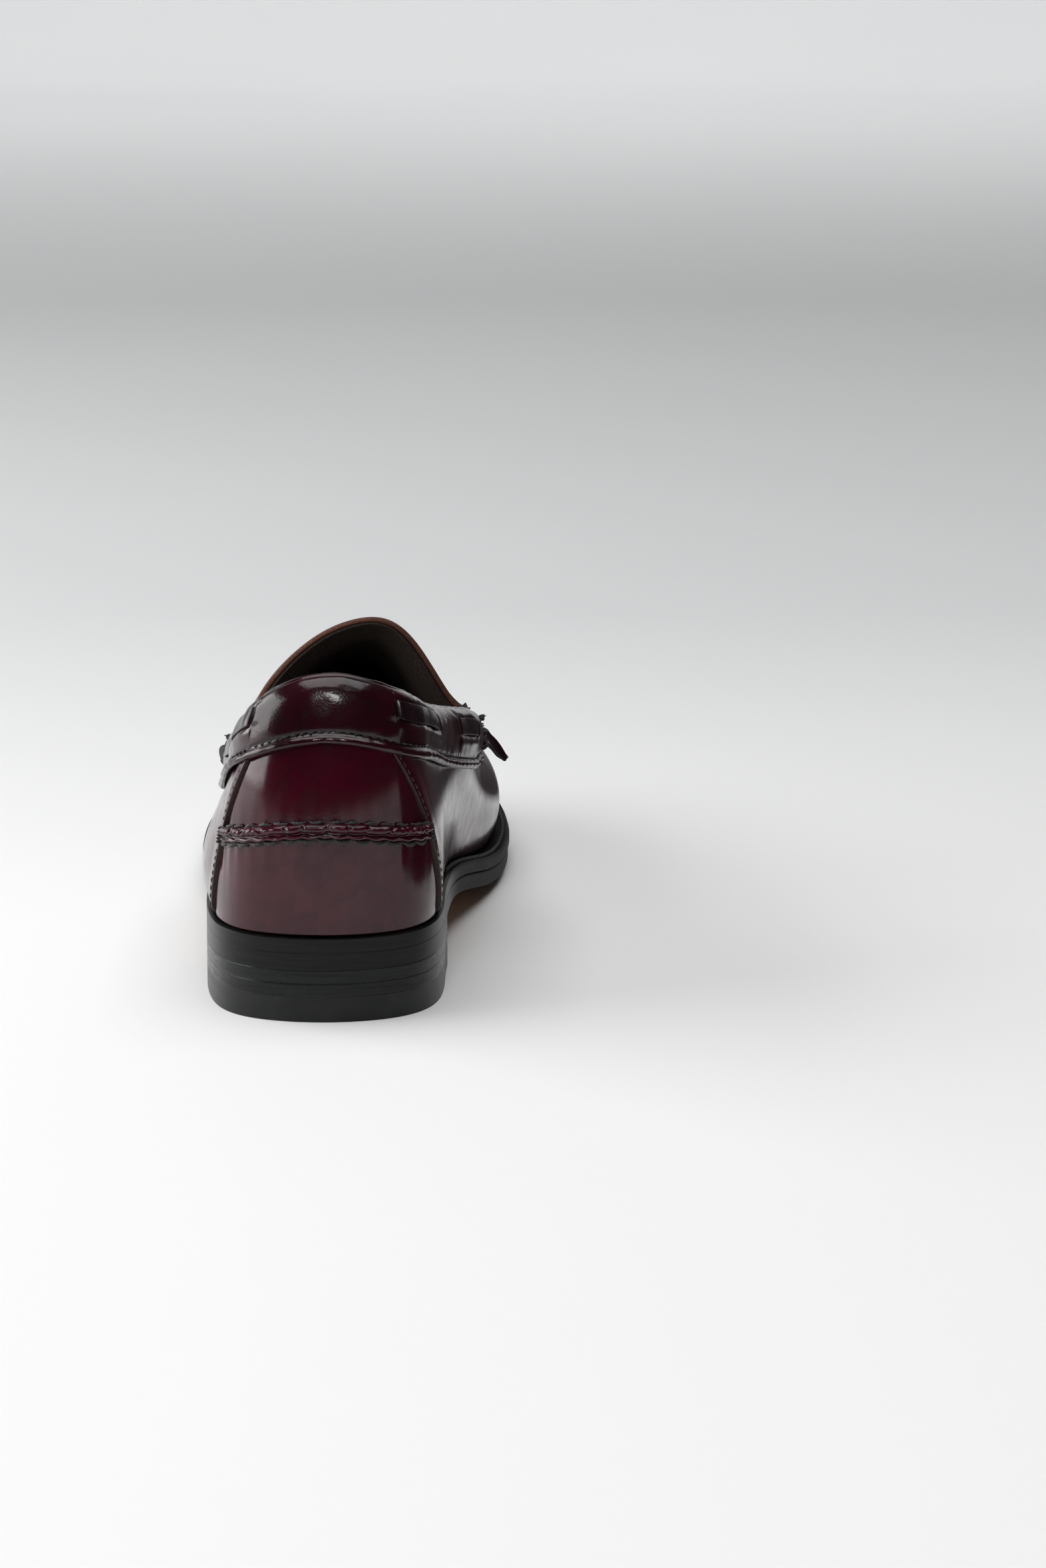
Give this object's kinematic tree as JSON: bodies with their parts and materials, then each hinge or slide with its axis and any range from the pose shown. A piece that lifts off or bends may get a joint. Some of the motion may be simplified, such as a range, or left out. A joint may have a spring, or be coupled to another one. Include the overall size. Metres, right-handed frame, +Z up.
{
  "type": "penny loafer",
  "caption": "Left beefroll penny loafer in polished burgundy leather with a saddle strap, side lace, hand-sewn heel roll and stacked heel.",
  "frame": {"origin": "centre of the bounding box in plan, on the floor under the heel and the ball of the sole", "axes": "+Z up, the toe points to -Y, the heel to +Y, the inner side of the left foot to -X"},
  "size_m": [0.0851, 0.2548, 0.0885],
  "materials": {
    "burgundy_leather": "polished corrected-grain leather with a high shine",
    "waxed_thread": "waxed black cord",
    "black_rubber": "smooth satin",
    "heel_leather": "stacked leather, edge inked black and waxed",
    "nail_brass": "dull",
    "sole_leather": "tan leather sole, edge inked black",
    "welt_leather": "edge inked black and waxed",
    "cork": "matt",
    "spring_steel": "brushed",
    "insole_leather": "matt vegetable-tanned",
    "black_lining": "matt",
    "foam": "matt open-cell foam",
    "lace_leather": "polished, dark",
    "stiffener": "matt stiffened fibre board"
  },
  "bodies": {
    "shoe": {"top_lift": "black_rubber", "heel_lift_lower": "heel_leather", "heel_lift_upper": "heel_leather", "heel_nails": "nail_brass", "outsole": "sole_leather", "welt": "welt_leather", "welt_thread": "waxed_thread", "cork_filler": "cork", "shank": "spring_steel", "insole": "insole_leather", "sock_lining": "black_lining", "vamp": "burgundy_leather", "apron": "burgundy_leather", "apron_thread": "waxed_thread", "tongue": "burgundy_leather", "tongue_lining": "black_lining", "saddle_strap": "burgundy_leather", "beefroll_medial": "burgundy_leather", "beefroll_lateral": "burgundy_leather", "beefroll_thread": "waxed_thread", "collar_band": "burgundy_leather", "collar_padding": "foam", "collar_thread": "waxed_thread", "side_lace": "lace_leather", "heel_panel_lower": "burgundy_leather", "heel_panel_upper": "burgundy_leather", "heel_roll": "burgundy_leather", "heel_roll_thread": "waxed_thread", "side_seam_thread": "waxed_thread", "heel_counter": "stiffener", "toe_puff": "stiffener", "lining": "black_lining"},
    "lace_end_medial": {"lace_end_medial": "lace_leather"},
    "lace_end_lateral": {"lace_end_lateral": "lace_leather"}
  },
  "joints": [
    {"name": "lace_end_medial_swing", "type": "hinge", "parent": "shoe", "child": "lace_end_medial", "pos_m": [-0.0352, 0.01666, 0.05165], "axis": [0.379, 0.485, -0.7881], "range_deg": [-10, 60]},
    {"name": "lace_end_lateral_swing", "type": "hinge", "parent": "shoe", "child": "lace_end_lateral", "pos_m": [0.03344, 0.0159, 0.0468], "axis": [0, -0.6157, 0.788], "range_deg": [0, 75]}
  ]
}
